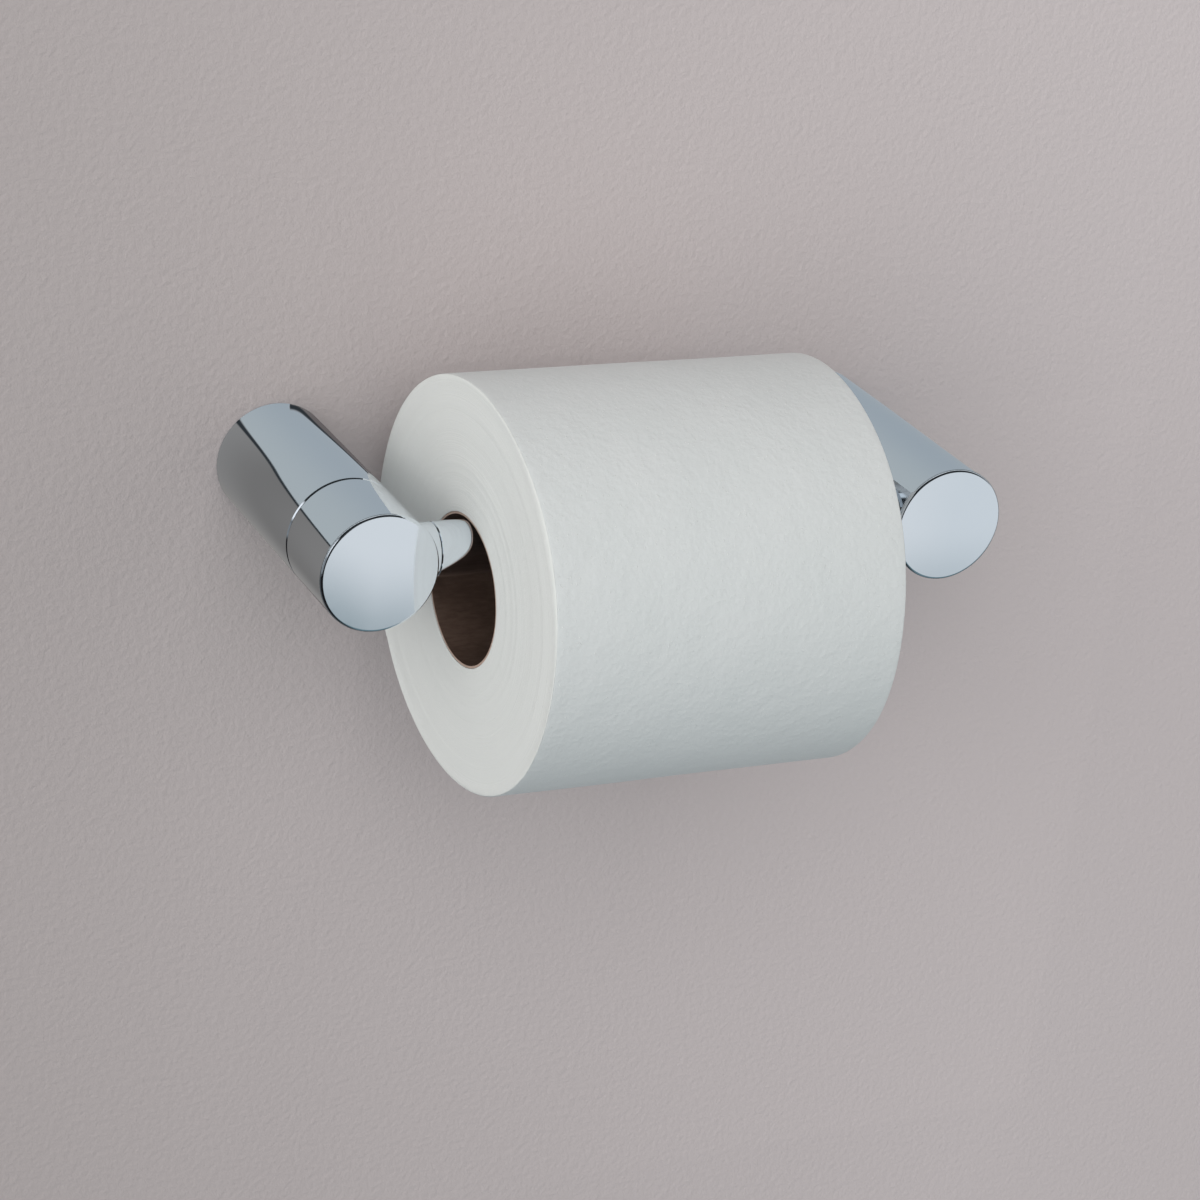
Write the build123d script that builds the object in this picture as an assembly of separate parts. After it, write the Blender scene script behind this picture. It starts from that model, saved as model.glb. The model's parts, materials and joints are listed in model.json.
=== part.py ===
from build123d import *
import math
import os

# Roll holder for a wall: two round posts with a lifting arm between them, loaded with a roll.
# +Z is up, the wall is the plane Y = 0 and the object stands out towards -Y.  The origin lies
# on the wall, midway between the two posts.  "Depth" below is the distance out from the wall.
# All sizes are in millimetres.

# ---------------------------------------------------------------- posts
POST_SPACING = 165.0        # between the axes of the two posts
POST_R = 16.0
POST_DEPTH = 78.0           # wall to the front edge of a cap
POST_BORE_R = 13.8          # the hollow behind
EDGE_BREAK = 0.3            # chamfer on both sides of the seam

LEFT_X = -POST_SPACING / 2
RIGHT_X = POST_SPACING / 2

# ---------------------------------------------------------------- seam between post and knuckle
SEAM_DEPTH = 54.0
SEAM_GAP = 0.4
LEFT_POST_DEPTH = SEAM_DEPTH - SEAM_GAP / 2
KNUCKLE_BACK = SEAM_DEPTH + SEAM_GAP / 2

# ---------------------------------------------------------------- caps
CAP_RIM = 1.2               # thickness of a cap's plate at its edge
CAP_DOME = 0.35             # how far its middle stands proud of the edge
CAP_EDGE_R = 0.8
CAP_SEAT = POST_DEPTH - CAP_RIM
CAP_SPIGOT_R = 9.65
CAP_SPIGOT_BORE_R = 7.4
CAP_SPIGOT_DEPTH = 6.0
CAP_SOCKET_R = 9.8          # the bore that a cap's spigot plugs into
O_RING_R = 9.25             # centre line of the ring that grips the socket
O_RING_WIRE_R = 0.48
O_RING_GROOVE_R = 8.7
O_RING_GROOVE_WIDTH = 1.4
O_RING_DEPTH = CAP_SEAT - CAP_SPIGOT_DEPTH / 2

# ---------------------------------------------------------------- wall brackets and grub screws
BRACKET_R = 13.7
BRACKET_PLATE = 3.0
BRACKET_DEPTH = 12.0
BRACKET_CUP_R = 10.9
WALL_HOLE_R = 2.25          # clearance for a 4 mm wall screw
WALL_HOLE_SPACING = 13.0    # the two holes in a bracket, one above the other
GRUB_R = 2.0                # M4
GRUB_HOLE_R = 2.04
GRUB_DEPTH = 8.0
GRUB_OUTER = 15.7           # its socket end, just under the surface of the post
GRUB_TIP = 12.5
GRUB_POINT_R = 0.2          # blunt end of its cone
GRUB_KEY_AF = 2.0
GRUB_KEY_DEPTH = 1.3
GROOVE_R = 12.3             # bottom of the V groove that the grub screw pulls into
GROOVE_HALF = 1.8

# ---------------------------------------------------------------- pivot inside the left post
HOUSING_R = 13.76
HOUSING_BACK = 37.0
HOUSING_FRONT = 53.0
SPINDLE_R = 5.0
BUSH_BORE_R = 5.05          # running clearance of 0.05 on the spindle
BUSH_R = 7.0
BUSH_SEAT_R = 7.03
BUSH_LENGTH = 6.0
THRUST_R = 13.4
THRUST_BORE_R = 5.3
THRUST_PLAY = 0.05
THREAD_R = 4.0              # M8 tail of the spindle
THREAD_BACK = 25.0
SPINDLE_SHOULDER = HOUSING_BACK - THRUST_PLAY
SPINDLE_HEAD_AF = 13.0
SPINDLE_HEAD = 5.0
WASHER_R = 9.0
WASHER_THICKNESS = 1.2
SPRING_R = 8.0
SPRING_PLATE = 0.6
SPRING_RISE = 0.9
NUT_AF = 13.0
NUT_THICKNESS = 6.5

# ---------------------------------------------------------------- knuckle and arm
ARM_DEPTH = 66.0            # wall to the arm's centre line
ARM_R = 7.25
ARM_BORE_R = 5.75
ARM_START = -63.8           # hairline between the knuckle's stub and the arm
ARM_HAIRLINE = 0.1
ARM_EDGE = 0.2
ARM_END = 69.4              # free end, in the cradle
ARM_PLUG_HEAD = 2.0
ARM_PLUG_SPIGOT = 9.0
ARM_SPIGOT_R = 5.7
ARM_SPIGOT_END = -48.0
ARM_GRUB_X = -59.0
ARM_GRUB_TIP = 3.4
WEB_FRONT = 61.0            # front face of the knuckle's rear wall
HEAD_SEAT = 58.6            # bottom of the hexagonal pocket for the spindle's head
KEY_PLAY = 0.1

# ---------------------------------------------------------------- travel stop
ARM_TRAVEL = 100.0          # degrees that the arm lifts
STOP_PIN_R = 2.0
STOP_RADIUS = 9.8           # pin centre from the pivot's axis
STOP_ANGLE = 170.0          # where the pin sits, counted from +X towards +Z
STOP_SLOT_R = 2.3
STOP_SLOT_END = 2.0         # degrees of slot past the pin at each end of the travel
STOP_PIN_BACK = 46.0
STOP_PIN_FRONT = 57.0
STOP_SLOT_FRONT = 57.5

# ---------------------------------------------------------------- cradle in the right post
CRADLE_FLOOR_X = 69.9       # flat floor milled in the post's inner side
CRADLE_HALF = CAP_SEAT - ARM_DEPTH
CRADLE_BOTTOM = -8.6
PAD_SHOULDER = 4.5
PAD_CUP_R = 7.55            # 0.3 mm clear of the arm
PAD_PLAY = 0.05
RIGHT_WEB_BACK = 50.0
RIGHT_WEB_FRONT = 64.0

# ---------------------------------------------------------------- roll
ROLL_LEFT = -54.0
ROLL_WIDTH = 99.6
ROLL_R = 55.0
CORE_R = 20.35
CORE_WALL = 0.7
CORE_PLAY = 0.05
HANG_GAP = 0.3              # between the arm's top and the inside of the core
ROLL_Z = ARM_R + HANG_GAP - (CORE_R - CORE_WALL)

FROM_BACK = (Align.CENTER, Align.CENTER, Align.MIN)


# ---------------------------------------------------------------- helpers
def rod(radius, back, front, x=0.0, z=0.0):
    """A round bar square to the wall, between two depths."""
    place = Plane(origin=(x, -back, z), z_dir=(0, -1, 0))
    return place * Cylinder(radius, front - back, align=FROM_BACK)


def bar(radius, left, right, z=0.0, depth=ARM_DEPTH):
    """A round bar along X, at the arm's depth unless told otherwise."""
    place = Plane(origin=(left, -depth, z), z_dir=(1, 0, 0))
    return place * Cylinder(radius, right - left, align=FROM_BACK)


def hexagon(across_flats, back, front, x):
    """A hexagonal prism square to the wall."""
    place = Plane(origin=(x, -back, 0), z_dir=(0, -1, 0))
    return extrude(place * RegularPolygon(across_flats / 2, 6, major_radius=False), front - back)


def turned(outline, x):
    """A solid of revolution about a post's axis, from (radius, depth) corners."""
    corners = [(x + radius, -depth, 0) for radius, depth in outline]
    section = make_face(Polyline(*corners, close=True))
    return revolve(section, Axis((x, 0, 0), (0, 1, 0)))


def upright(radius, low, high, x, depth):
    """A round bar along Z."""
    place = Plane(origin=(x, -depth, low), z_dir=(0, 0, 1))
    return place * Cylinder(radius, high - low, align=FROM_BACK)


def block(x_range, depth_range, z_range):
    """A box between pairs of limits."""
    centre = (
        sum(x_range) / 2,
        -sum(depth_range) / 2,
        sum(z_range) / 2,
    )
    return Pos(*centre) * Box(
        x_range[1] - x_range[0],
        depth_range[1] - depth_range[0],
        z_range[1] - z_range[0],
    )


def grub_screw(x, depth, outer, tip):
    """A cone-point socket set screw pointing up, its socket at -outer and its tip at -tip."""
    cone = GRUB_R - GRUB_POINT_R
    body = upright(GRUB_R, -outer, -tip - cone, x, depth)
    point = Pos(x, -depth, -tip - cone) * Cone(GRUB_R, GRUB_POINT_R, cone, align=FROM_BACK)
    socket = Plane(origin=(x, -depth, -outer)) * RegularPolygon(GRUB_KEY_AF / 2, 6, major_radius=False)
    return body + point - extrude(socket, GRUB_KEY_DEPTH)


# ---------------------------------------------------------------- fixed pieces
def wall_bracket(x):
    """Cup screwed to the wall; the post slips over it and the grub screw grips its V groove."""
    cup = turned(
        [
            (0, 0),
            (BRACKET_R, 0),
            (BRACKET_R, GRUB_DEPTH - GROOVE_HALF),
            (GROOVE_R, GRUB_DEPTH),
            (BRACKET_R, GRUB_DEPTH + GROOVE_HALF),
            (BRACKET_R, BRACKET_DEPTH),
            (BRACKET_CUP_R, BRACKET_DEPTH),
            (BRACKET_CUP_R, BRACKET_PLATE),
            (0, BRACKET_PLATE),
        ],
        x,
    )
    for z in (-WALL_HOLE_SPACING / 2, WALL_HOLE_SPACING / 2):
        cup -= rod(WALL_HOLE_R, 0, BRACKET_PLATE, x, z)
    return cup


def left_post():
    """Plain tube with a chamfered front edge at the seam and a grub screw hole underneath."""
    tube = turned(
        [
            (POST_BORE_R, 0),
            (POST_R - EDGE_BREAK, 0),
            (POST_R, EDGE_BREAK),
            (POST_R, LEFT_POST_DEPTH - EDGE_BREAK),
            (POST_R - EDGE_BREAK, LEFT_POST_DEPTH),
            (POST_BORE_R, LEFT_POST_DEPTH),
        ],
        LEFT_X,
    )
    return tube - upright(GRUB_HOLE_R, -POST_R, 0, LEFT_X, GRUB_DEPTH)


def right_post():
    """Turned post, hollow behind, with a cap socket in front and the cradle in its inner side."""
    body = turned(
        [
            (POST_BORE_R, 0),
            (POST_R - EDGE_BREAK, 0),
            (POST_R, EDGE_BREAK),
            (POST_R, CAP_SEAT),
            (CAP_SOCKET_R, CAP_SEAT),
            (CAP_SOCKET_R, RIGHT_WEB_FRONT),
            (0, RIGHT_WEB_FRONT),
            (0, RIGHT_WEB_BACK),
            (POST_BORE_R, RIGHT_WEB_BACK),
        ],
        RIGHT_X,
    )
    cradle = block(
        (RIGHT_X - 2 * POST_R, CRADLE_FLOOR_X),
        (ARM_DEPTH - CRADLE_HALF, CAP_SEAT),
        (CRADLE_BOTTOM, POST_R),
    )
    return body - cradle - upright(GRUB_HOLE_R, -POST_R, 0, RIGHT_X, GRUB_DEPTH)


def cap(x):
    """Slightly domed disc with a rounded edge and a hollow spigot that carries an O-ring."""
    dome_r = (POST_R**2 + CAP_DOME**2) / (2 * CAP_DOME)
    plate = rod(POST_R, CAP_SEAT, POST_DEPTH + CAP_DOME, x)
    plate &= Pos(x, dome_r - POST_DEPTH - CAP_DOME, 0) * Sphere(dome_r)
    rim = plate.edges().filter_by(GeomType.CIRCLE).sort_by(Axis.Y)[0]
    plate = fillet(rim, CAP_EDGE_R)
    groove_back = O_RING_DEPTH - O_RING_GROOVE_WIDTH / 2
    groove_front = O_RING_DEPTH + O_RING_GROOVE_WIDTH / 2
    spigot = turned(
        [
            (CAP_SPIGOT_BORE_R, CAP_SEAT),
            (CAP_SPIGOT_BORE_R, CAP_SEAT - CAP_SPIGOT_DEPTH),
            (CAP_SPIGOT_R, CAP_SEAT - CAP_SPIGOT_DEPTH),
            (CAP_SPIGOT_R, groove_back),
            (O_RING_GROOVE_R, groove_back),
            (O_RING_GROOVE_R, groove_front),
            (CAP_SPIGOT_R, groove_front),
            (CAP_SPIGOT_R, CAP_SEAT),
        ],
        x,
    )
    return plate + spigot


def o_ring(x):
    """Rubber ring in the groove of a cap's spigot."""
    place = Plane(origin=(x, -O_RING_DEPTH, 0), z_dir=(0, -1, 0))
    return place * Torus(O_RING_R, O_RING_WIRE_R)


def bearing_housing():
    """Plug pressed into the left post, bored for the two bushes and the stop pin."""
    plug = rod(HOUSING_R, HOUSING_BACK, HOUSING_FRONT, LEFT_X)
    bore = rod(BUSH_BORE_R + 1, HOUSING_BACK, HOUSING_FRONT, LEFT_X)
    back_seat = rod(BUSH_SEAT_R, HOUSING_BACK, HOUSING_BACK + BUSH_LENGTH, LEFT_X)
    front_seat = rod(BUSH_SEAT_R, HOUSING_FRONT - BUSH_LENGTH, HOUSING_FRONT, LEFT_X)
    pin_hole = rod(STOP_PIN_R, STOP_PIN_BACK, HOUSING_FRONT, *stop_pin_place())
    return plug - bore - back_seat - front_seat - pin_hole


def pivot_bush(back):
    """Plain acetal bush."""
    body = rod(BUSH_R, back, back + BUSH_LENGTH, LEFT_X)
    return body - rod(BUSH_BORE_R, back, back + BUSH_LENGTH, LEFT_X)


def stop_pin_place():
    """X and Z of the stop pin's centre."""
    angle = math.radians(STOP_ANGLE)
    return LEFT_X + STOP_RADIUS * math.cos(angle), STOP_RADIUS * math.sin(angle)


def stop_pin():
    """Steel pin that stands out of the housing into the knuckle's curved slot."""
    pin = rod(STOP_PIN_R, STOP_PIN_BACK, STOP_PIN_FRONT, *stop_pin_place())
    return chamfer(pin.edges().filter_by(GeomType.CIRCLE), EDGE_BREAK)


def thrust_washer():
    """Acetal washer hidden in the seam, held by the stop pin."""
    back = HOUSING_FRONT + THRUST_PLAY
    front = KNUCKLE_BACK - THRUST_PLAY
    body = rod(THRUST_R, back, front, LEFT_X)
    hole = rod(STOP_PIN_R + THRUST_PLAY, back, front, *stop_pin_place())
    return body - rod(THRUST_BORE_R, back, front, LEFT_X) - hole


def cradle_pad():
    """Black U-shaped nylon seat for the arm's free end, flush with the post's surface."""
    front = CAP_SEAT - PAD_PLAY
    back = 2 * ARM_DEPTH - front
    pad = block(
        (RIGHT_X - POST_R, CRADLE_FLOOR_X - PAD_PLAY),
        (back, front),
        (CRADLE_BOTTOM + PAD_PLAY, PAD_SHOULDER),
    )
    pad &= rod(POST_R - EDGE_BREAK, back, front, RIGHT_X)
    cup = bar(PAD_CUP_R, RIGHT_X - 2 * POST_R, CRADLE_FLOOR_X)
    lead_in = block(
        (RIGHT_X - 2 * POST_R, CRADLE_FLOOR_X),
        (ARM_DEPTH - PAD_CUP_R, ARM_DEPTH + PAD_CUP_R),
        (0, POST_R),
    )
    return pad - cup - lead_in


# ---------------------------------------------------------------- pieces that lift with the arm
def knuckle():
    """Front section of the left post, with the stub and spigot that carry the arm."""
    drum = turned(
        [
            (0, KNUCKLE_BACK),
            (POST_R - EDGE_BREAK, KNUCKLE_BACK),
            (POST_R, KNUCKLE_BACK + EDGE_BREAK),
            (POST_R, CAP_SEAT),
            (0, CAP_SEAT),
        ],
        LEFT_X,
    )
    stub_end = ARM_START - ARM_HAIRLINE / 2
    stub = bar(ARM_R, LEFT_X, stub_end)
    stub = chamfer(stub.edges().filter_by(GeomType.CIRCLE).sort_by(Axis.X)[-1], ARM_EDGE)
    spigot = bar(ARM_SPIGOT_R, LEFT_X, ARM_SPIGOT_END)
    body = drum + stub + spigot
    body -= rod(CAP_SOCKET_R, WEB_FRONT, CAP_SEAT, LEFT_X)
    body -= rod(SPINDLE_R + KEY_PLAY / 2, KNUCKLE_BACK, WEB_FRONT, LEFT_X)
    body -= hexagon(SPINDLE_HEAD_AF + KEY_PLAY, HEAD_SEAT, WEB_FRONT, LEFT_X)
    body -= upright(GRUB_HOLE_R, -ARM_R, -ARM_GRUB_TIP, ARM_GRUB_X, ARM_DEPTH)
    return body - stop_slot()


def stop_slot():
    """Curved slot in the knuckle's back: it slides past the fixed pin as the arm lifts."""
    first = STOP_ANGLE - ARM_TRAVEL - STOP_SLOT_END
    span = ARM_TRAVEL + 2 * STOP_SLOT_END
    back = Plane(origin=(LEFT_X, -KNUCKLE_BACK, 0), x_dir=(1, 0, 0), z_dir=(0, -1, 0))
    line = CenterArc((0, 0), STOP_RADIUS, first, span)
    outline = SlotArc(line, 2 * STOP_SLOT_R)
    return extrude(back * outline, STOP_SLOT_FRONT - KNUCKLE_BACK)


def pivot_spindle():
    """Hex-headed shoulder bolt; the head is keyed in the knuckle and the tail takes the nut."""
    shoulder = rod(SPINDLE_R, SPINDLE_SHOULDER, HEAD_SEAT, LEFT_X)
    tail = rod(THREAD_R, THREAD_BACK, SPINDLE_SHOULDER, LEFT_X)
    tail = chamfer(tail.edges().filter_by(GeomType.CIRCLE).sort_by(Axis.Y)[-1], 2 * EDGE_BREAK)
    return shoulder + tail + hexagon(SPINDLE_HEAD_AF, HEAD_SEAT, HEAD_SEAT + SPINDLE_HEAD, LEFT_X)


def friction_washer():
    """Flat steel washer against the spindle's shoulder, behind the rear bush."""
    back = SPINDLE_SHOULDER - WASHER_THICKNESS
    return rod(WASHER_R, back, SPINDLE_SHOULDER, LEFT_X) - rod(
        THREAD_R + THRUST_PLAY, back, SPINDLE_SHOULDER, LEFT_X
    )


def disc_spring():
    """Conical spring washer that keeps light pressure on the pivot."""
    front = SPINDLE_SHOULDER - WASHER_THICKNESS
    bore = THREAD_R + THRUST_PLAY
    return turned(
        [
            (bore, front - SPRING_RISE - SPRING_PLATE),
            (bore, front - SPRING_RISE),
            (SPRING_R, front),
            (SPRING_R, front - SPRING_PLATE),
        ],
        LEFT_X,
    )


def pivot_locknut():
    """M8 lock nut with a rounded back edge."""
    front = SPINDLE_SHOULDER - WASHER_THICKNESS - SPRING_RISE - SPRING_PLATE
    back = front - NUT_THICKNESS
    body = hexagon(NUT_AF, back, front, LEFT_X)
    crown = turned(
        [
            (0, back),
            (NUT_AF / 2, back),
            (NUT_AF / math.sqrt(3), back + 1.0),
            (NUT_AF / math.sqrt(3), front),
            (0, front),
        ],
        LEFT_X,
    )
    return (body & crown) - rod(THREAD_R + THRUST_PLAY, back, front, LEFT_X)


def arm_tube():
    """Polished tube that the roll hangs on."""
    left = ARM_START + ARM_HAIRLINE / 2
    right = ARM_END - ARM_PLUG_HEAD
    body = bar(ARM_R, left, right)
    body = chamfer(body.edges().filter_by(GeomType.CIRCLE).sort_by(Axis.X)[0], ARM_EDGE)
    return (
        body
        - bar(ARM_BORE_R, left, right)
        - upright(GRUB_HOLE_R, -ARM_R, 0, ARM_GRUB_X, ARM_DEPTH)
    )


def arm_end_plug():
    """Chamfered plug that closes the arm's free end."""
    shoulder = ARM_END - ARM_PLUG_HEAD
    head = bar(ARM_R, shoulder, ARM_END)
    head = chamfer(head.edges().filter_by(GeomType.CIRCLE).sort_by(Axis.X)[-1], 2 * EDGE_BREAK)
    return head + bar(ARM_SPIGOT_R, shoulder - ARM_PLUG_SPIGOT, shoulder)


# ---------------------------------------------------------------- the roll
def cardboard_core():
    """Tube that the paper is wound on."""
    right = ROLL_LEFT + ROLL_WIDTH
    tube = bar(CORE_R, ROLL_LEFT, right, ROLL_Z)
    return tube - bar(CORE_R - CORE_WALL, ROLL_LEFT, right, ROLL_Z)


def paper_roll():
    """Full roll of tissue, as one annulus."""
    right = ROLL_LEFT + ROLL_WIDTH
    paper = bar(ROLL_R, ROLL_LEFT, right, ROLL_Z)
    return paper - bar(CORE_R + CORE_PLAY, ROLL_LEFT, right, ROLL_Z)


# ---------------------------------------------------------------- all pieces
PIECES = {
    "left_wall_bracket": wall_bracket(LEFT_X),
    "right_wall_bracket": wall_bracket(RIGHT_X),
    "left_post": left_post(),
    "right_post": right_post(),
    "right_cap": cap(RIGHT_X),
    "right_cap_o_ring": o_ring(RIGHT_X),
    "post_set_screws": Compound(
        children=[grub_screw(x, GRUB_DEPTH, GRUB_OUTER, GRUB_TIP) for x in (LEFT_X, RIGHT_X)]
    ),
    "bearing_housing": bearing_housing(),
    "rear_pivot_bush": pivot_bush(HOUSING_BACK),
    "front_pivot_bush": pivot_bush(HOUSING_FRONT - BUSH_LENGTH),
    "thrust_washer": thrust_washer(),
    "stop_pin": stop_pin(),
    "cradle_pad": cradle_pad(),
    "knuckle": knuckle(),
    "left_cap": cap(LEFT_X),
    "left_cap_o_ring": o_ring(LEFT_X),
    "pivot_spindle": pivot_spindle(),
    "friction_washer": friction_washer(),
    "disc_spring": disc_spring(),
    "pivot_locknut": pivot_locknut(),
    "arm_tube": arm_tube(),
    "arm_end_plug": arm_end_plug(),
    "arm_set_screw": grub_screw(ARM_GRUB_X, ARM_DEPTH, ARM_R - EDGE_BREAK, ARM_GRUB_TIP),
    "cardboard_core": cardboard_core(),
    "paper_roll": paper_roll(),
}

os.makedirs("parts", exist_ok=True)
for name, piece in PIECES.items():
    export_step(piece, os.path.join("parts", name + ".step"))
    print(name, "volume", round(piece.volume, 1))
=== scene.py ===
import json
import math
import random

import bpy
from mathutils import Matrix, Vector


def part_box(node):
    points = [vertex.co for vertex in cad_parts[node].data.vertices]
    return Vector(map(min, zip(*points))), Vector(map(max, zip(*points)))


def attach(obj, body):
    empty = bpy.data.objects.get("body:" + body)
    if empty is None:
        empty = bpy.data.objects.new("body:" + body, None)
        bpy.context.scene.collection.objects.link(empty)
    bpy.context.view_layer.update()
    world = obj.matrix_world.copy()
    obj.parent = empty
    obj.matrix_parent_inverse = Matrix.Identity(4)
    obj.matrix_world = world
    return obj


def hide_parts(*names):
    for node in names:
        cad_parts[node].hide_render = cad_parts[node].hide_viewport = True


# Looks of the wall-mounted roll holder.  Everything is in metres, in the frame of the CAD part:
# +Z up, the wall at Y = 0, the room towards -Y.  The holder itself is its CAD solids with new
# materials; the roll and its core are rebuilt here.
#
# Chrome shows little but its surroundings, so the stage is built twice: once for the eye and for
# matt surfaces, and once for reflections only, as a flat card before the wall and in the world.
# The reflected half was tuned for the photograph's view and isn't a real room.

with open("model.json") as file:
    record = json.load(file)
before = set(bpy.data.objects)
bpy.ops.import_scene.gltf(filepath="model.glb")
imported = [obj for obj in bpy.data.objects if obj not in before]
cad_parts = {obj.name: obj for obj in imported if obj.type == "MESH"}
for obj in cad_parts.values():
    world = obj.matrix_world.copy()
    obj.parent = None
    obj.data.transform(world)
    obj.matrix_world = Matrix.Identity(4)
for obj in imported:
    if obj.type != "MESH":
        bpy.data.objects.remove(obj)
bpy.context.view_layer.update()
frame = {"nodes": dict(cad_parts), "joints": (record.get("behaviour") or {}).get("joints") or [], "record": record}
NODES = frame["nodes"]
JOINTS = {joint["name"]: joint for joint in frame["joints"]}
MM = 0.001

# ---------------------------------------------------------------- camera
CAMERA_AZIMUTH = math.radians(-27.662)
CAMERA_ELEVATION = math.radians(23.409)
CAMERA_ROLL = math.radians(6.495)
CAMERA_DISTANCE = 0.899
CAMERA_AIM = Vector((0, -0.040, 0))     # point that the camera turns about
CAMERA_SLIDE = (0.003712, 0.028562)     # shift of the aim to the left and down in the picture
CAMERA_LENS = 100.48
CAMERA_SENSOR = 36.0

# ---------------------------------------------------------------- core
CORE_LOW, CORE_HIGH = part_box("cardboard_core")
CORE_OUTER_R = (CORE_HIGH.z - CORE_LOW.z) / 2
CORE_INNER_R = CORE_OUTER_R - 0.7 * MM
CORE_GAP = 0.05 * MM                    # between the core and the paper
CORE_RINGS = 60                         # rings along the core
CORE_STEPS = 180                        # facets round the core
CORE_PITCH = 76.0 * MM                  # of the helical joint between the core's strips
CORE_JOINT_STEP = 0.12 * MM
CORE_JOINT_WIDTH = math.radians(0.6)
CORE_INSET = 0.15 * MM                  # from the paper's end faces
CORE_CUT_RELIEF = 0.05 * MM             # raggedness of the cut ends
CORE_CUT_TURNS = 3                      # how much faster it runs round than a wave does
CORE_CUT_SEED = 9

# ---------------------------------------------------------------- roll
ROLL_AXIS = JOINTS["roll_spin"]["pos_m"]
ROLL_BORE_R = CORE_OUTER_R + CORE_GAP
ROLL_R_DEPTH = 54.8 * MM                # the wound roll is not quite round
ROLL_R_HEIGHT = 54.6 * MM
ROLL_LIFT = 0.9 * MM                    # the winding sits a little off the core's centre
ROLL_BACK_SHIFT = 0.34 * MM
ROLL_EDGE_R = 0.4 * MM                  # worn, rounded outer edges
ROLL_STEPS = 288                        # facets round the roll
FACE_RINGS = 46                         # rings on an end face
SIDE_RINGS = 44                         # rings along the outside
EDGE_RINGS = 6                          # rings over a rounded edge
LAYER_RELIEF = 0.07 * MM                # how far single windings stand out on an end face
LAYER_SEED = 11
SIDE_RELIEF = 0.10 * MM                 # slackness of the outer sheet
SIDE_TURNS = 3                          # how much faster it runs along than a wave does
SIDE_SEED = 4
RIM_RELIEF = 0.9 * MM                   # raggedness of the outermost sheets' edges
RIM_SHARE = 0.94                        # where on the end face the raggedness starts
RIM_TERMS = 9
RIM_SEED = 23
TAIL_ANGLE = math.radians(128)          # where the outer sheet ends, behind the roll
TAIL_STEP = 0.28 * MM
TAIL_WIDTH = math.radians(0.25)
# End faces as (a, b, c): X = a + b*y + c*z, with X from the frame's origin, y and z from the roll's
# axis, and a in millimetres.
LEFT_FACE = (-54.16, -0.030, -0.022)
RIGHT_FACE = (46.25, 0.010, -0.014)
FACE_WIDTH = (RIGHT_FACE[0] - LEFT_FACE[0]) * MM

# ---------------------------------------------------------------- meshes
WAVE_LOBES = (1, 2, 3, 4, 5)            # whole turns of a wave's terms round the axis
WAVE_RIPPLES = (1, 6)                   # lowest and highest rate of its terms along the axis
SHARP_ANGLE = math.radians(50)

# ---------------------------------------------------------------- metals and plastics
# Two tints, lowest and highest roughness, relief, and how many grains lie along a metre.
METALS = {
    "zinc_plated_steel": ((0.70, 0.72, 0.74), (0.56, 0.58, 0.62), (0.28, 0.48), 0.02 * MM, 900),
    "plain_steel": ((0.48, 0.48, 0.49), (0.36, 0.36, 0.38), (0.25, 0.42), 0.01 * MM, 1400),
    "spring_steel": ((0.33, 0.34, 0.38), (0.20, 0.21, 0.26), (0.22, 0.38), 0.01 * MM, 1200),
    "brass": ((0.80, 0.60, 0.28), (0.66, 0.47, 0.20), (0.22, 0.38), 0.01 * MM, 1100),
}
METAL_PATCH = 6                         # size of a tinted patch, in grains
METAL_PATCH_EDGE = (0.35, 0.65)
# Two tints, mean roughness, relief, and grains along a metre.
PLASTICS = {
    "white_acetal": ((0.84, 0.84, 0.81), (0.78, 0.78, 0.75), 0.42, 0.01 * MM, 1500),
    "black_nylon": ((0.022, 0.022, 0.024), (0.034, 0.034, 0.036), 0.45, 0.02 * MM, 1800),
    "black_rubber": ((0.018, 0.018, 0.018), (0.032, 0.031, 0.030), 0.72, 0.02 * MM, 2200),
}
PLASTIC_PATCH = 10                      # size of a tinted patch, in grains
PLASTIC_ROUGH_SPREAD = 0.12

# ---------------------------------------------------------------- chrome
CHROME_TINTS = ((0.823, 0.878, 0.938), (0.853, 0.908, 0.968))
CHROME_HAZE = 55                        # patches of haze along a metre
CHROME_HAZE_EDGE = (0.45, 0.80)
CHROME_ROUGH = 0.045                    # where it is clean
CHROME_ROUGH_HAZE = 0.035               # more where it is hazy
CHROME_WIPES = 320                      # wipe marks along a metre
CHROME_WIPE_STRETCH = (1, 9, 1)         # and 9 times as many along Y
CHROME_WIPE_RELIEF = 0.0015 * MM

# ---------------------------------------------------------------- tissue
# Textures are given as features along a metre, and their weights in the relief as shares.
SHEET_TINTS = ((0.712, 0.742, 0.735), (0.737, 0.762, 0.756))
SHEET_ROUGH = 0.92
SPECK_TINT = (0.90, 0.92, 0.90)
SPECK_MIX = 0.6
CUT_TINTS = ((0.745, 0.768, 0.742), (0.795, 0.812, 0.787))
SOFT_PATCHES = 60
DIMPLES, DIMPLE_SHARE = 620, 0.5
FIBRES, FIBRE_SHARE = 1400, 0.5
CREPE, CREPE_SHARE = 900, 0.3
CREPE_STRETCH = (0.25, 1, 1)
CRUSH, CRUSH_SHARE = 190, 1.6
SPECKS, SPECK_SHARE = 700, 0.5
SPECK_EDGE = (0.17, 0.06)
WINDINGS, WINDING_SHARE = 2600, 0.8
WINDING_WANDER = 0.9 * MM
END_FIBRE_SHARE = 0.35
SHEET_GREY = (0.6, 0.4)                 # shares of soft patches and fibres in the tint
GREY_EDGE = (0.3, 0.7)
SHEET_RELIEF = 0.18 * MM
SHEET_STRENGTH = 0.9
END_EDGE = (0.55, 0.85)                 # how far a face looks along X when it counts as an end

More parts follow.
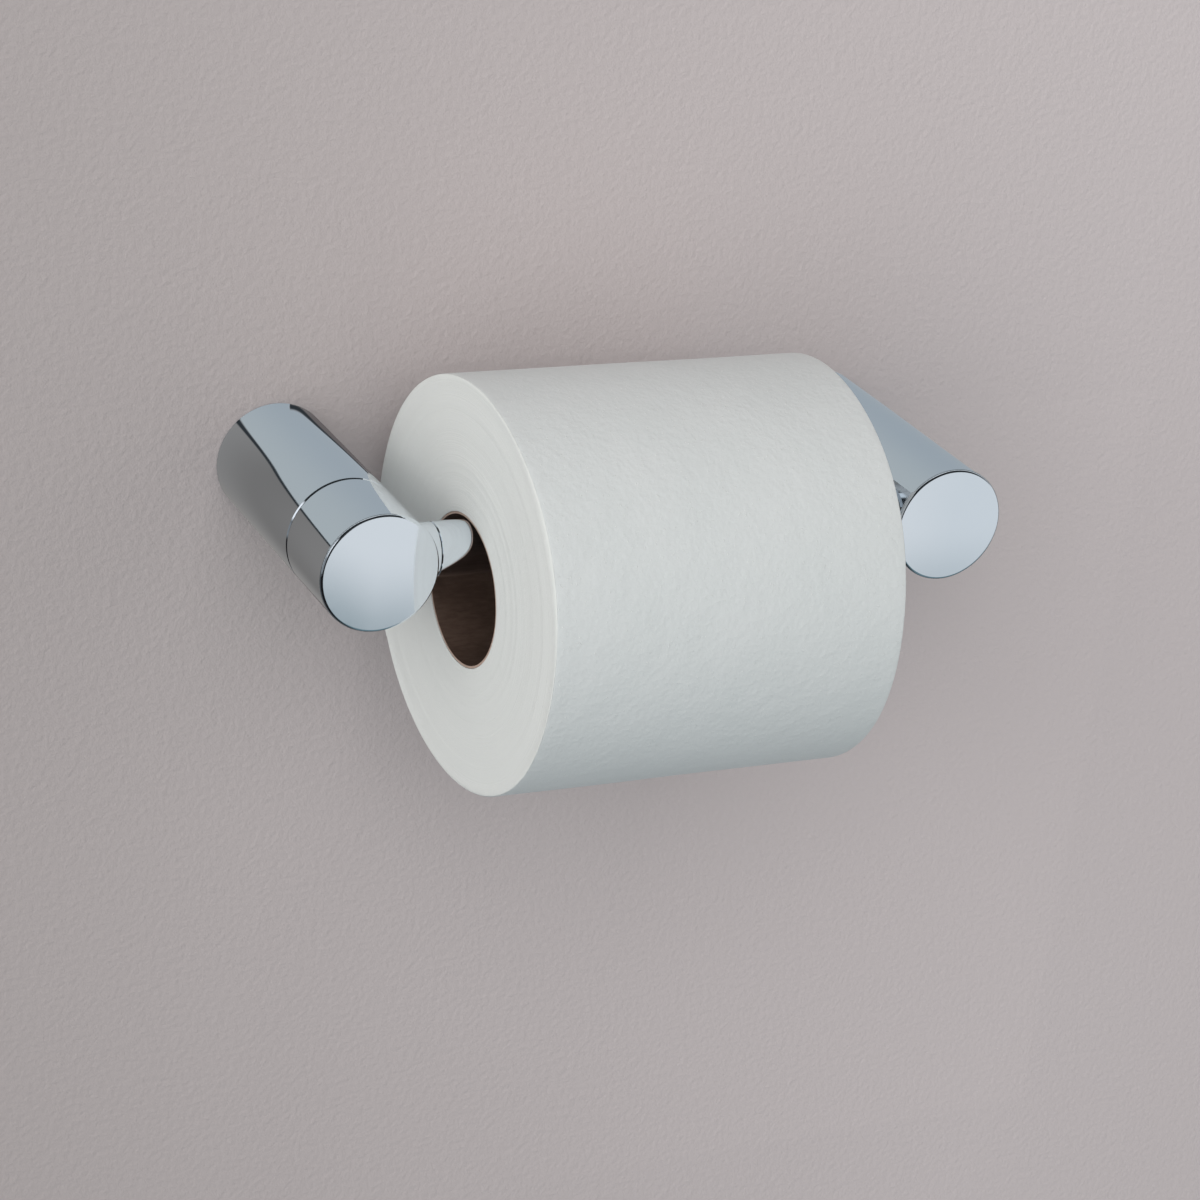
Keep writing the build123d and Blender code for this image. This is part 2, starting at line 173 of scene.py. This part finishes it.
# ---------------------------------------------------------------- cardboard
BOARD_TINTS = ((0.085, 0.052, 0.039), (0.140, 0.092, 0.070))
BOARD_CUT_TINTS = ((0.42, 0.30, 0.24), (0.55, 0.42, 0.35))
BOARD_ROUGH = 0.88
BOARD_FIBRES = 1100
BOARD_STRETCH = (0.3, 1, 1)
BOARD_PATCHES = 90
BOARD_GREY = (0.5, 0.5)                 # shares of patches and fibres in the tint
BOARD_RELIEF = 0.08 * MM

# ---------------------------------------------------------------- wall and floor
STAGE_SIZE = 6.0
FLOOR_DROP = 0.60
FLOOR_TINTS = ((0.66, 0.65, 0.64), (0.70, 0.69, 0.68))
FLOOR_CLOUDS = 4
FLOOR_ROUGH = 0.6
WALL_BEHIND = 0.4 * MM                  # behind the holder's back, so that the two don't touch
# Painted light: the wall's tint runs from a shaded left to a lit right.
WALL_SHADED_LEFT = (0.445, 0.400, 0.392)
WALL_LIT_RIGHT = (0.700, 0.632, 0.630)
WALL_FADE = (-0.30, 0.30)               # X from one tint to the other: painted light, darker left and brighter right
WALL_ROUGH = 0.75
WALL_CLOUDS = 3
WALL_CLOUD_SHARE = 0.2
WALL_STIPPLE = 520
WALL_STIPPLE_RELIEF = 0.5 * MM
WALL_STIPPLE_STRENGTH = 0.7

# ---------------------------------------------------------------- card that only chrome shows: the wall's painted reflection, with painted shade and a painted shadow
CARD_AHEAD = 0.2 * MM                   # before the wall's plane, Y = 0
CARD_HALF_WIDTH = 0.2
CARD_LOW = -0.25
CARD_HIGH = 0.03
# Height of its upper line, the painted edge of the left post's shadow on the wall: from X, to X, and how far the
# line rises between them.
CARD_SHADOW_RISES = (
    (-0.0812, -0.0782, 0.0154),
    (-0.0735, -0.1105, 0.0212),
    (-0.0705, -0.0275, -0.014),
)
CARD_FADE = (0.4 * MM, 1.6 * MM)        # height over the line at which the card fades out
CARD_SHADE_FAR_LEFT = (0.228, 0.215, 0.205)
# Painted shade of the wall from left to right, darkest just right of the left post: from X, to X, and the colour
# beyond.
CARD_SHADES = (
    (-0.150, -0.114, (0.187, 0.177, 0.169)),
    (-0.114, -0.088, (0.265, 0.254, 0.244)),
    (-0.084, -0.070, (0.136, 0.120, 0.120)),
    (-0.055, -0.040, (0.211, 0.208, 0.199)),
    (0.0, 0.08, (0.408, 0.379, 0.369)),
)
CARD_SHADOW_BAND = (0.029, 0.034, 0.038)       # painted shadow: dark band along the line
CARD_SHADOW_BAND_WIDTH = 1.0 * MM              # at the left post's axis
CARD_SHADOW_BAND_SPREAD = 0.028                # more for each metre to either side
CARD_SHADOW_BAND_FADE = (1.0, 0.4)             # share of the width
CARD_SHADOW_BAND_END = (-0.02, -0.035)         # X; there is no band round the right post
POST_X = JOINTS["arm_pivot"]["pos_m"][0]

# ---------------------------------------------------------------- world that only chrome shows
# Spans are pairs of components of the direction from the object, a unit vector.
BEHIND_FROM_Y = (0.50, 0.68)            # beyond the wall's card
BEHIND_X = (-0.5, 0.6)
BEHIND_LEFT = (0.422, 0.455, 0.463)
BEHIND_RIGHT = (0.352, 0.392, 0.423)
BESIDE_FROM_Y = (-0.22, -0.04)          # walls of the room, to the left and right
BESIDE_Z = (-0.45, 0.35)
BESIDE_LOW = (0.098, 0.108, 0.115)
BESIDE_HIGH = (0.609, 0.639, 0.652)
GAP_FROM_Y = (0.18, 0.30)               # dark gap between the room's side and what lies behind
GAP = (0.020, 0.022, 0.024)
PANEL_X = (0.42, 0.55)                  # large bright panel in the room
PANEL_LEFT = (0.709, 0.728, 0.740)
PANEL_RIGHT = (0.655, 0.686, 0.706)
PANEL_FOOT_Z = -0.36                    # its foot is teal, and higher towards its left corner
PANEL_FOOT = (0.128, 0.197, 0.221)
PANEL_FOOT_FADE = (0.0, 0.22)
PANEL_CORNER_X = 0.36
PANEL_CORNER_SLOPE = 0.6
PANEL_END_X = (0.22, 0.05)
UNLIT = (0.012, 0.012, 0.013)
SCREEN_X = (-0.28, -0.60)               # grey screen on the left
SCREEN_Z = (-0.37, -0.24)
SCREEN = (0.196, 0.211, 0.225)
UPPER_Z = (-0.02, 0.16)                 # dark upper part of the room
UPPER = (0.022, 0.025, 0.027)
LAMP_TOWARD = (-0.769, -0.567, 0.294)   # small lamp that gives the edges their glint
LAMP_REACH = (0.955, 0.985)             # cosine of the angle from its middle
LAMP = (0.95, 0.97, 1.0)
CEILING_Z = (0.93, 0.97)
CEILING = (0.491, 0.511, 0.527)

# ---------------------------------------------------------------- light on matt surfaces
EVEN_LEVEL = 0.34
EVEN_LEFT_X, EVEN_LEFT_LEVEL = (0, -0.8), 1.00
EVEN_RIGHT_X, EVEN_RIGHT_LEVEL = (0, 0.8), 0.30
EVEN_BELOW_Z, EVEN_BELOW = (0.0, -0.7), (0.20, 0.25, 0.28)
EVEN_ABOVE_Z, EVEN_ABOVE = (0.2, 0.9), (0.09, 0.09, 0.09)
# Soft lights: place, point that they face, size and power in watts.
LIGHTS = {
    "soft_right": ((1.1, -0.6, 0.35), (0.2, 0, 0.05), 0.8, 1.0),
    "soft_left": ((-1.15, -0.45, 0.75), (0, -0.06, 0), 1.2, 6.5),
    "soft_front": ((-0.30, -1.15, 0.75), (0, -0.06, 0), 0.8, 5.0),
}


# ================================================================ shader helpers
def node(tree, kind, inputs=(), **settings):
    """One shader node; inputs maps a socket to a value or to another node's output."""
    made = tree.nodes.new(kind)
    for name, value in settings.items():
        setattr(made, name, value)
    for key, value in dict(inputs).items():
        if isinstance(value, bpy.types.NodeSocket):
            tree.links.new(value, made.inputs[key])
        else:
            made.inputs[key].default_value = value
    return made


def calc(tree, operation, a, b=0.0, c=0.0):
    """Result of one Math node."""
    return node(tree, "ShaderNodeMath", {0: a, 1: b, 2: c}, operation=operation).outputs[0]


def plus(tree, base, value, share):
    """base + value * share."""
    return calc(tree, "MULTIPLY_ADD", value, share, base)


def step(tree, value, low, high):
    """0 below low, 1 above high and smooth between; high may be the lower number."""
    inputs = {"Value": value, "From Min": low, "From Max": high}
    made = node(tree, "ShaderNodeMapRange", inputs, interpolation_type="SMOOTHSTEP")
    return made.outputs["Result"]


def blend_colour(tree, factor, a, b):
    """Colour a where factor is 0 and colour b where it is 1."""
    made = node(tree, "ShaderNodeMix", data_type="RGBA")
    for key, value in ((0, factor), (6, a), (7, b)):
        if isinstance(value, bpy.types.NodeSocket):
            tree.links.new(value, made.inputs[key])
        elif key == 0:
            made.inputs[key].default_value = value
        else:
            made.inputs[key].default_value = (*value, 1)
    return made.outputs[2]


def fade(tree, value, span, a, b):
    """Colour a up to the span's first end and colour b beyond its second."""
    return blend_colour(tree, step(tree, value, *span), a, b)


def coordinate(tree, kind):
    """One of the texture coordinates."""
    return node(tree, "ShaderNodeTexCoord").outputs[kind]


def axes(tree, vector):
    """X, Y and Z of a vector."""
    return node(tree, "ShaderNodeSeparateXYZ", {0: vector}).outputs[:3]


def place(tree, scale=(1, 1, 1)):
    """Object coordinates, scaled."""
    inputs = {"Vector": coordinate(tree, "Object"), "Scale": scale}
    return node(tree, "ShaderNodeMapping", inputs).outputs["Vector"]


def noise(tree, where, scale, detail=3.0, roughness=0.5):
    """Noise from 0 to 1."""
    inputs = {"Vector": where, "Scale": scale, "Detail": detail, "Roughness": roughness}
    return node(tree, "ShaderNodeTexNoise", inputs).outputs["Fac"]


def cells(tree, where, scale):
    """Distance from the middle of the nearest of many scattered cells."""
    return node(tree, "ShaderNodeTexVoronoi", {"Vector": where, "Scale": scale}).outputs["Distance"]


def bump(tree, height, distance, strength=1.0):
    """Normal from a height from 0 to 1."""
    inputs = {"Height": height, "Distance": distance, "Strength": strength}
    return node(tree, "ShaderNodeBump", inputs).outputs["Normal"]


def surface(name):
    """A new material, its node tree and its shader."""
    made = bpy.data.materials.new(name)
    made.use_nodes = True
    return made, made.node_tree, made.node_tree.nodes["Principled BSDF"]


def feed(tree, shader, **sockets):
    """Sets or links the shader's sockets; an underscore stands for a space."""
    for name, value in sockets.items():
        socket = shader.inputs[name.replace("_", " ")]
        if isinstance(value, bpy.types.NodeSocket):
            tree.links.new(value, socket)
        elif isinstance(value, tuple):
            socket.default_value = (*value, 1)
        else:
            socket.default_value = value


def see_through(tree, factor, shown):
    """Shows a shader where factor is 0 and nothing where it is 1."""
    clear = node(tree, "ShaderNodeBsdfTransparent").outputs[0]
    mix = node(tree, "ShaderNodeMixShader", {0: factor, 1: shown, 2: clear}).outputs[0]
    tree.links.new(mix, tree.nodes["Material Output"].inputs["Surface"])


# ================================================================ materials
def metal(name, light, dark, polish, relief, grain):
    """A metal whose tint, roughness and relief vary a little over the surface."""
    made, tree, shader = surface(name)
    where = place(tree)
    patches = noise(tree, where, grain / METAL_PATCH)
    fine = noise(tree, where, grain, detail=4)
    low, high = polish
    feed(tree, shader, Base_Color=fade(tree, patches, METAL_PATCH_EDGE, light, dark), Metallic=1.0)
    feed(tree, shader, Roughness=plus(tree, low, patches, high - low))
    feed(tree, shader, Normal=bump(tree, fine, relief))
    return made


def plastic(name, light, dark, roughness, relief, grain):
    """Moulded plastic or rubber with a fine grain."""
    made, tree, shader = surface(name)
    where = place(tree)
    patches = noise(tree, where, grain / PLASTIC_PATCH)
    fine = noise(tree, where, grain, detail=4, roughness=0.6)
    low = roughness - PLASTIC_ROUGH_SPREAD / 2
    feed(tree, shader, Base_Color=blend_colour(tree, patches, light, dark))
    feed(tree, shader, Roughness=plus(tree, low, fine, PLASTIC_ROUGH_SPREAD))
    feed(tree, shader, Normal=bump(tree, fine, relief))
    return made


def chrome():
    """Polished chrome with faint wipe marks."""
    made, tree, shader = surface("polished_chrome")
    haze = noise(tree, place(tree), CHROME_HAZE, detail=5, roughness=0.6)
    wipe = noise(tree, place(tree, CHROME_WIPE_STRETCH), CHROME_WIPES, detail=2)
    rough = plus(tree, CHROME_ROUGH, step(tree, haze, *CHROME_HAZE_EDGE), CHROME_ROUGH_HAZE)
    feed(tree, shader, Base_Color=blend_colour(tree, haze, *CHROME_TINTS), Metallic=1.0)
    feed(tree, shader, Roughness=rough, Normal=bump(tree, wipe, CHROME_WIPE_RELIEF))
    return made


def axis_distance(tree):
    """Distance from the roll's axis, which its pieces have as their X axis."""
    _, y, z = axes(tree, coordinate(tree, "Object"))
    square = calc(tree, "MULTIPLY_ADD", z, z, calc(tree, "MULTIPLY", y, y))
    return calc(tree, "SQRT", square)


def end_share(tree):
    """1 on the faces that look along X, 0 on the others."""
    along, _, _ = axes(tree, coordinate(tree, "Normal"))
    return step(tree, calc(tree, "ABSOLUTE", along), *END_EDGE)


def tissue():
    """Crushed tissue: dimples, fibres and specks outside, pressed windings on the ends."""
    made, tree, shader = surface("tissue_paper")
    where = coordinate(tree, "Object")
    ends = end_share(tree)
    fibres = noise(tree, where, FIBRES, detail=5, roughness=0.65)
    soft = noise(tree, where, SOFT_PATCHES, detail=4)
    specks = step(tree, cells(tree, where, SPECKS), *SPECK_EDGE)

    outside = calc(tree, "MULTIPLY", fibres, FIBRE_SHARE)
    outside = plus(tree, outside, cells(tree, where, DIMPLES), DIMPLE_SHARE)
    outside = plus(tree, outside, noise(tree, place(tree, CREPE_STRETCH), CREPE), CREPE_SHARE)
    outside = plus(tree, outside, noise(tree, where, CRUSH, detail=2), CRUSH_SHARE)
    outside = plus(tree, outside, specks, SPECK_SHARE)

    layer = plus(tree, axis_distance(tree), soft, WINDING_WANDER)
    winding = noise(tree, node(tree, "ShaderNodeCombineXYZ", {0: layer}).outputs[0], WINDINGS)
    pressed = plus(tree, calc(tree, "MULTIPLY", fibres, END_FIBRE_SHARE), winding, WINDING_SHARE)

    soft_part, fibre_part = SHEET_GREY
    grey = plus(tree, calc(tree, "MULTIPLY", fibres, fibre_part), soft, soft_part)
    sheet = fade(tree, grey, GREY_EDGE, *SHEET_TINTS)
    sheet = blend_colour(tree, calc(tree, "MULTIPLY", specks, SPECK_MIX), sheet, SPECK_TINT)
    cut = blend_colour(tree, winding, *CUT_TINTS)
    height = node(tree, "ShaderNodeMix", {0: ends, 2: outside, 3: pressed}).outputs[0]
    feed(tree, shader, Base_Color=blend_colour(tree, ends, sheet, cut), Roughness=SHEET_ROUGH)
    feed(tree, shader, Specular_IOR_Level=0.15, Sheen_Weight=0.12, Sheen_Roughness=0.5)
    feed(tree, shader, Normal=bump(tree, height, SHEET_RELIEF, SHEET_STRENGTH))
    return made


def cardboard():
    """Brown core board with fibres along it and a paler cut edge."""
    made, tree, shader = surface("brown_cardboard")
    fibres = noise(tree, place(tree, BOARD_STRETCH), BOARD_FIBRES, detail=5, roughness=0.6)
    patches = noise(tree, place(tree), BOARD_PATCHES, detail=4)
    patch_part, fibre_part = BOARD_GREY
    grey = plus(tree, calc(tree, "MULTIPLY", patches, patch_part), fibres, fibre_part)
    board = fade(tree, grey, GREY_EDGE, *BOARD_TINTS)
    cut = blend_colour(tree, fibres, *BOARD_CUT_TINTS)
    feed(tree, shader, Base_Color=blend_colour(tree, end_share(tree), board, cut))
    feed(tree, shader, Roughness=BOARD_ROUGH, Specular_IOR_Level=0.2)
    feed(tree, shader, Normal=bump(tree, fibres, BOARD_RELIEF))
    return made


def build_materials():
    """Every finish, by the record's slot name."""
    made = {name: metal(name, *look) for name, look in METALS.items()}
    made |= {name: plastic(name, *look) for name, look in PLASTICS.items()}
    made["polished_chrome"] = chrome()
    made["brown_cardboard"] = cardboard()
    made["tissue_paper"] = tissue()
    return made


def dress_cad_nodes(finishes):
    """Gives each CAD node that stays on show its finish."""
    for row in frame["record"]["subparts"]:
        piece = NODES[row["node"]]
        for holder in piece.material_slots:
            holder.material = finishes[row["material_slot"]]


# ================================================================ meshes
def add_mesh(name, points, faces, origin, finish):
    """A smooth mesh with its own origin; points are measured from that origin."""
    data = bpy.data.meshes.new(name)
    data.from_pydata(points, [], faces)
    data.validate()
    data.materials.append(finish)
    data.shade_smooth()
    data.set_sharp_from_angle(angle=SHARP_ANGLE)
    made = bpy.data.objects.new(name, data)
    made.location = origin
    bpy.context.scene.collection.objects.link(made)
    return made


def closed_loops(loops):
    """Quads that join each loop of points to the next, and the last to the first."""
    count = len(loops[0])
    points = [point for loop in loops for point in loop]
    faces = []
    for ring in range(len(loops)):
        here = ring * count
        there = (ring + 1) % len(loops) * count
        for k in range(count):
            after = (k + 1) % count
            faces.append((here + k, here + after, there + after, there + k))
    return points, faces


def turns(count, at, width):
    """Angles round a circle, with two close together where a sheet ends."""
    return [at + width / 2 + (math.tau - width) * k / (count - 1) for k in range(count)]


def face_x(plane, y, z):
    """X of a slightly skewed end face, measured from the CAD frame's origin."""
    start, by_y, by_z = plane
    return start * MM + by_y * y + by_z * z


def wave(seed, count=5):
    """A smooth random function of two angles, about -1 to 1."""
    source = random.Random(seed)
    terms = [
        (source.choice(WAVE_LOBES), source.uniform(*WAVE_RIPPLES), source.uniform(0, math.tau))
        for _ in range(count)
    ]

    def height(a, b):
        return sum(math.sin(m * a + n * b + phase) for m, n, phase in terms) / count

    return height


def roll_radius(angle, share):
    """Distance of the outer sheet from the winding's middle; share runs once round from its end."""
    y, z = math.sin(angle), math.cos(angle)
    oval = math.hypot(ROLL_R_DEPTH * y, ROLL_R_HEIGHT * z)
    return oval - TAIL_STEP * (0.5 - share)


def tissue_roll(finish):
    """The wound roll: skewed, layered end faces, rounded edges and a slack outer sheet."""
    angles = turns(ROLL_STEPS, TAIL_ANGLE, TAIL_WIDTH)
    slack = wave(SIDE_SEED)
    frill = wave(RIM_SEED, RIM_TERMS)
    source = random.Random(LAYER_SEED)
    flat_share = 1 - ROLL_EDGE_R / (ROLL_R_DEPTH - ROLL_BORE_R)
    edge_share = ROLL_EDGE_R / FACE_WIDTH

    def loop(outward, along, relief=0.0, edge_drop=0.0):
        """One ring; outward 0 is the bore and 1 the outside, along 0 the left face and 1 the right."""
        ring = []
        for k, angle in enumerate(angles):
            outer = roll_radius(angle, k / (ROLL_STEPS - 1))
            outer += SIDE_RELIEF * slack(angle, along * SIDE_TURNS) * outward
            radius = ROLL_BORE_R + (outer - edge_drop - ROLL_BORE_R) * outward
            y = radius * math.sin(angle) + ROLL_BACK_SHIFT * outward
            z = radius * math.cos(angle) + ROLL_LIFT * outward
            left, right = face_x(LEFT_FACE, y, z), face_x(RIGHT_FACE, y, z)
            rim = max(0.0, outward - RIM_SHARE) / (1 - RIM_SHARE)
            ragged = relief + RIM_RELIEF * rim * frill(angle, along)
            x = left + (right - left) * along + ragged * (1 if along > 0.5 else -1)
            ring.append((x - ROLL_AXIS[0], y, z))
        return ring

    def face(along):
        """Rings of an end face from the bore outwards."""
        return [
            loop(flat_share * k / FACE_RINGS, along, LAYER_RELIEF * source.uniform(-1, 1))
            for k in range(FACE_RINGS + 1)
        ]

    def edge(side):
        """Rings over a rounded outer edge, from the end face to the outside."""
        rings = []
        for k in range(1, EDGE_RINGS + 1):
            turn = math.pi / 2 * k / EDGE_RINGS
            inset = ROLL_EDGE_R * (1 - math.cos(turn)) / FACE_WIDTH
            drop = ROLL_EDGE_R * (1 - math.sin(turn))
            rings.append(loop(1, inset if side == 0 else 1 - inset, edge_drop=drop))
        return rings

    left_half = face(0) + edge(0)
    side = [loop(1, edge_share + (1 - 2 * edge_share) * k / SIDE_RINGS) for k in range(1, SIDE_RINGS)]
    right_half = edge(1)[::-1] + face(1)[::-1]
    points, faces = closed_loops(left_half + side + right_half)
    made = add_mesh("tissue_roll", points, faces, ROLL_AXIS, finish)
    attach(made, "roll")
    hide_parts("paper_roll")


def core_tube(finish):
    """The cardboard tube: a spirally wound strip, so its joint runs as a helix along it."""
    rough = wave(CORE_CUT_SEED)

    def loop(radius, along):
        """One ring; along 0 is the left end and 1 the right."""
        ring = []
        start = math.tau * along * FACE_WIDTH / CORE_PITCH
        for k, angle in enumerate(turns(CORE_STEPS, start, CORE_JOINT_WIDTH)):
            here = radius + CORE_JOINT_STEP / 2 * (0.5 - k / (CORE_STEPS - 1))
            y, z = here * math.sin(angle), here * math.cos(angle)
            left = face_x(LEFT_FACE, y, z) + CORE_INSET
            right = face_x(RIGHT_FACE, y, z) - CORE_INSET
            cut = CORE_CUT_RELIEF * rough(angle * CORE_CUT_TURNS, along)
            ring.append((left + (right - left) * along + cut - ROLL_AXIS[0], y, z))
        return ring

    def skin(radius):
        """Rings of one side of the board, from the left end to the right."""
        return [loop(radius, k / CORE_RINGS) for k in range(CORE_RINGS + 1)]

    outside = skin(CORE_OUTER_R - CORE_JOINT_STEP / 2)
    inside = skin(CORE_INNER_R + CORE_JOINT_STEP / 2)
    points, faces = closed_loops(outside + inside[::-1])
    made = add_mesh("core_tube", points, faces, ROLL_AXIS, finish)
    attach(made, "roll")
    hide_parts("cardboard_core")


# ================================================================ stage
def wall_paint():
    """Mauve-grey eggshell paint with painted light, darker to the left and brighter to the right; its back lets
    the eye through, so the holder shows from behind.
    """
    made, tree, shader = surface("wall_paint")
    where = place(tree)
    x, _, _ = axes(tree, where)
    stipple = noise(tree, where, WALL_STIPPLE, detail=3, roughness=0.6)
    cloud = noise(tree, where, WALL_CLOUDS, detail=2)
    # painted light: shaded tint on the left, lit tint on the right, with faint clouds
    across = plus(tree, step(tree, x, *WALL_FADE), cloud, WALL_CLOUD_SHARE)
    feed(tree, shader, Base_Color=blend_colour(tree, across, WALL_SHADED_LEFT, WALL_LIT_RIGHT))
    feed(tree, shader, Roughness=WALL_ROUGH, Specular_IOR_Level=0.2)
    feed(tree, shader, Normal=bump(tree, stipple, WALL_STIPPLE_RELIEF, WALL_STIPPLE_STRENGTH))
    see_through(tree, node(tree, "ShaderNodeNewGeometry").outputs["Backfacing"], shader.outputs[0])
    return made


def floor_paint():
    """Pale, plain floor."""
    made, tree, shader = surface("pale_floor")
    clouds = noise(tree, place(tree), FLOOR_CLOUDS)
    feed(tree, shader, Base_Color=blend_colour(tree, clouds, *FLOOR_TINTS))
    feed(tree, shader, Roughness=FLOOR_ROUGH, Specular_IOR_Level=0.3)
    return made


def painted_reflection_card():
    """Painted reflection of the wall's lower part for chrome: glowing grey shade under a painted shadow line that
    rises from the left post, with a dark band along it.
    """
    made, tree, _ = surface("wall_painted_reflection")
    x, _, z = axes(tree, coordinate(tree, "Object"))
    # painted shadow: the line is the edge of the left post's shadow on the wall
    line = 0.0
    for start, end, rise in CARD_SHADOW_RISES:
        line = plus(tree, line, step(tree, x, start, end), rise)
    above = calc(tree, "SUBTRACT", z, line)
    grey = CARD_SHADE_FAR_LEFT
    for start, end, beyond in CARD_SHADES:
        grey = fade(tree, x, (start, end), grey, beyond)
    reach = calc(tree, "ABSOLUTE", calc(tree, "SUBTRACT", x, POST_X))
    width = plus(tree, CARD_SHADOW_BAND_WIDTH, reach, CARD_SHADOW_BAND_SPREAD)
    share = calc(tree, "DIVIDE", calc(tree, "ABSOLUTE", above), width)
    edge = calc(tree, "MULTIPLY", step(tree, share, *CARD_SHADOW_BAND_FADE), step(tree, x, *CARD_SHADOW_BAND_END))
    colour = blend_colour(tree, edge, grey, CARD_SHADOW_BAND)
    # the card glows with this painted shade and shadow, which only chrome shows
    glow = node(tree, "ShaderNodeEmission", {0: colour}).outputs[0]
    see_through(tree, step(tree, above, *CARD_FADE), glow)
    return made


def upright(half_width, y, low, high):
    """Corners of a rectangle that stands across Y, its front towards the room."""
    return [(-half_width, y, low), (half_width, y, low), (half_width, y, high), (-half_width, y, high)]


def panel(name, corners, finish):
    """One flat stage panel."""
    data = bpy.data.meshes.new(name)
    data.from_pydata(corners, [], [range(len(corners))])
    data.materials.append(finish)
    made = bpy.data.objects.new(name, data)
    bpy.context.scene.collection.objects.link(made)
    return made


def build_stage():
    """The wall that the holder hangs on, a glowing card with its painted reflection for chrome, and a floor well
    below.
    """
    half = STAGE_SIZE / 2
    low = -FLOOR_DROP
    wall = panel("stage_wall", upright(half, WALL_BEHIND, low, half), wall_paint())
    wall.visible_glossy = False

    # card that glows with the wall's painted reflection: its shade and the post's shadow
    corners = upright(CARD_HALF_WIDTH, -CARD_AHEAD, CARD_LOW, CARD_HIGH)
    card = panel("stage_wall_painted_reflection", corners, painted_reflection_card())
    card.visible_camera = False
    card.visible_diffuse = False
    card.visible_transmission = False
    card.visible_shadow = False

    corners = [(-half, -half, low), (half, -half, low), (half, half, low), (-half, half, low)]
    floor = panel("stage_floor", corners, floor_paint())
    floor.visible_glossy = False
    floor.visible_diffuse = False
    floor.visible_shadow = False


# ================================================================ light
def mirrored_panel(tree, x, z):
    """The bright panel that caps and front edges show, with its teal foot and dark left end."""
    bright = fade(tree, x, PANEL_X, PANEL_LEFT, PANEL_RIGHT)
    corner = calc(tree, "MAXIMUM", calc(tree, "SUBTRACT", PANEL_CORNER_X, x), 0.0)
    depth = plus(tree, calc(tree, "SUBTRACT", PANEL_FOOT_Z, z), corner, PANEL_CORNER_SLOPE)
    glow = fade(tree, depth, PANEL_FOOT_FADE, bright, PANEL_FOOT)
    return fade(tree, x, PANEL_END_X, glow, UNLIT)


def mirrored_room(tree, direction):
    """What chrome shows in each direction: the room ahead, its sides, and what lies behind."""
    x, y, z = axes(tree, direction)
    room = mirrored_panel(tree, x, z)
    screen = calc(tree, "MULTIPLY", step(tree, x, *SCREEN_X), step(tree, z, *SCREEN_Z))
    room = blend_colour(tree, screen, room, SCREEN)
    room = fade(tree, z, UPPER_Z, room, UPPER)
    toward = node(
        tree, "ShaderNodeVectorMath", {0: direction, 1: LAMP_TOWARD}, operation="DOT_PRODUCT"
    )
    room = fade(tree, toward.outputs["Value"], LAMP_REACH, room, LAMP)
    room = fade(tree, z, CEILING_Z, room, CEILING)
    beside = fade(tree, z, BESIDE_Z, BESIDE_LOW, BESIDE_HIGH)
    beside = fade(tree, y, GAP_FROM_Y, beside, GAP)
    room = fade(tree, y, BESIDE_FROM_Y, room, beside)
    behind = fade(tree, x, BEHIND_X, BEHIND_LEFT, BEHIND_RIGHT)
    return fade(tree, y, BEHIND_FROM_Y, room, behind)


def even_light(tree, direction):
    """Light on matt surfaces: stronger from the sides, weaker from above and below."""
    x, _, z = axes(tree, direction)
    level = plus(tree, EVEN_LEVEL, step(tree, x, *EVEN_LEFT_X), EVEN_LEFT_LEVEL)
    level = plus(tree, level, step(tree, x, *EVEN_RIGHT_X), EVEN_RIGHT_LEVEL)
    even = node(tree, "ShaderNodeCombineXYZ", {0: level, 1: level, 2: level}).outputs[0]
    even = fade(tree, z, EVEN_BELOW_Z, even, EVEN_BELOW)
    return fade(tree, z, EVEN_ABOVE_Z, even, EVEN_ABOVE)


def build_world():
    """Soft studio light for matt things, and the room that chrome mirrors."""
    world = bpy.data.worlds.new("studio")
    world.use_nodes = True
    tree = world.node_tree
    direction = coordinate(tree, "Generated")
    glossy = node(tree, "ShaderNodeLightPath").outputs["Is Glossy Ray"]
    colour = blend_colour(tree, glossy, even_light(tree, direction), mirrored_room(tree, direction))
    tree.links.new(colour, tree.nodes["Background"].inputs["Color"])
    bpy.context.scene.world = world


def soft_light(name, spot, aim, size, power):
    """A square soft light that chrome doesn't mirror."""
    data = bpy.data.lights.new(name, "AREA")
    data.size = size
    data.energy = power
    made = bpy.data.objects.new(name, data)
    made.location = spot
    made.rotation_euler = (Vector(aim) - Vector(spot)).to_track_quat("-Z", "Y").to_euler()
    made.visible_glossy = False
    bpy.context.scene.collection.objects.link(made)


# ================================================================ camera
def build_camera():
    """The photograph's viewpoint."""
    azimuth, elevation = CAMERA_AZIMUTH, CAMERA_ELEVATION
    back = Vector(
        (
            math.sin(azimuth) * math.cos(elevation),
            -math.cos(azimuth) * math.cos(elevation),
            math.sin(elevation),
        )
    )
    level = Vector((0, 0, 1)).cross(back).normalized()
    tilt = Matrix.Rotation(CAMERA_ROLL, 3, back)
    right = tilt @ level
    up = tilt @ back.cross(level)
    spot = CAMERA_AIM + back * CAMERA_DISTANCE - right * CAMERA_SLIDE[0] - up * CAMERA_SLIDE[1]
    data = bpy.data.cameras.new("camera")
    data.lens = CAMERA_LENS
    data.sensor_width = CAMERA_SENSOR
    made = bpy.data.objects.new("camera", data)
    made.matrix_world = Matrix((right, up, back)).transposed().to_4x4()
    made.location = spot
    bpy.context.scene.collection.objects.link(made)
    bpy.context.scene.camera = made


finishes = build_materials()
dress_cad_nodes(finishes)
tissue_roll(finishes["tissue_paper"])
core_tube(finishes["brown_cardboard"])
build_stage()
build_world()
for name, setting in LIGHTS.items():
    soft_light(name, *setting)
build_camera()
bpy.context.scene.view_settings.view_transform = "Standard"
